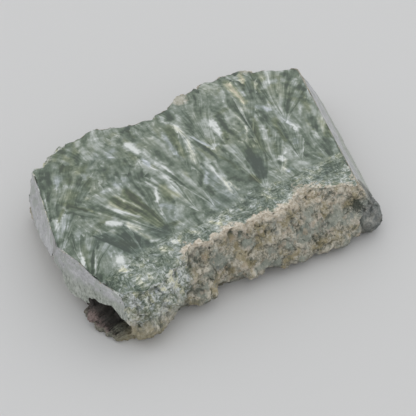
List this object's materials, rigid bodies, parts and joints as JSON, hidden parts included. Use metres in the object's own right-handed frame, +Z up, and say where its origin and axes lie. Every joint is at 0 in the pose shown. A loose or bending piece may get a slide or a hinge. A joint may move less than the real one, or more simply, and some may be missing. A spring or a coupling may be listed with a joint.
{
  "type": "seraphinite slice",
  "caption": "Thick slice of silvery green fibrous seraphinite, top polished, ends sawn, with rough natural rind along front and back, for display.",
  "frame": {"origin": "on the flat sawn base, under the middle of the slice's box", "axes": "+X along the length, towards the sloping end; +Y from the rough front to the back; +Z up, out of the polished face"},
  "size_m": [0.0736, 0.051, 0.013],
  "materials": {
    "seraphinite_rock": "satin polish on top, rough rind at the sides"
  },
  "bodies": {
    "root": {"seraphinite_slice": "seraphinite_rock"}
  },
  "joints": []
}
